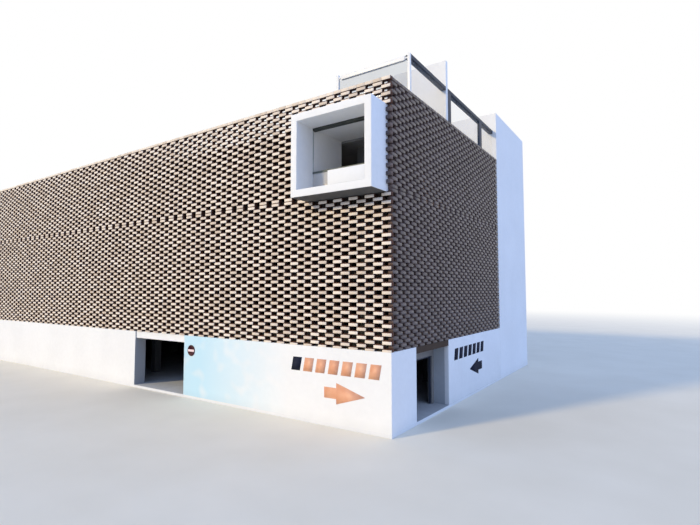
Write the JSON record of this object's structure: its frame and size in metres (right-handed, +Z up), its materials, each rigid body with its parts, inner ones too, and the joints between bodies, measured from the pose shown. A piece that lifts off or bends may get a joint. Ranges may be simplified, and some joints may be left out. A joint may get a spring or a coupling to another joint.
{
  "type": "multi storey car park",
  "caption": "Car park building with a white ground storey, open block screens round its parking decks, a projecting viewing box, a roof frame and a corner tower.",
  "frame": {"origin": "middle of the building's plan, on the underside of the ground slab", "axes": "+X along the front to its right end, +Y from the front to the back, +Z up"},
  "size_m": [36, 20.075, 15.7],
  "materials": {
    "white_render": "smooth white mineral render",
    "concrete": "fair-faced concrete",
    "clay_blocks": "matt fired clay, pale faces and red-brown reveals",
    "glass": "clear blue-grey glass",
    "white_metal": "satin white paint",
    "dark_metal": "satin dark green-grey paint",
    "sign_paint": "satin enamel"
  },
  "bodies": {
    "root": {"ground_slab": "concrete", "front_wall_left": "white_render", "front_wall_right": "white_render", "entry_jambs": "white_render", "entry_lintel": "white_render", "corner_wall": "white_render", "recess_cheeks": "white_render", "recess_wall": "white_render", "recess_head": "white_render", "door_frame": "dark_metal", "right_wall": "white_render", "left_wall": "white_render", "back_wall": "white_render", "deck_1": "concrete", "deck_2": "concrete", "deck_3": "concrete", "roof_deck": "concrete", "columns": "concrete", "front_screen_1": "clay_blocks", "front_screen_2": "clay_blocks", "front_screen_3": "clay_blocks", "front_parapet": "clay_blocks", "right_screen": "clay_blocks", "right_parapet": "clay_blocks", "left_screen": "clay_blocks", "left_parapet": "clay_blocks", "back_screen_1": "clay_blocks", "back_screen_2": "clay_blocks", "back_screen_3": "clay_blocks", "back_parapet": "clay_blocks", "viewing_box": "white_render", "box_low_wall": "white_render", "box_guard": "glass", "guard_rail": "dark_metal", "ceiling_track": "dark_metal", "frame_posts": "white_metal", "frame_beam": "white_metal", "frame_glass": "glass", "roof_wall": "white_render", "tower_front": "white_render", "tower_right": "white_render", "tower_back": "white_render", "tower_left": "white_render", "tower_roof": "white_render", "entry_sign": "sign_paint"}
  },
  "joints": []
}
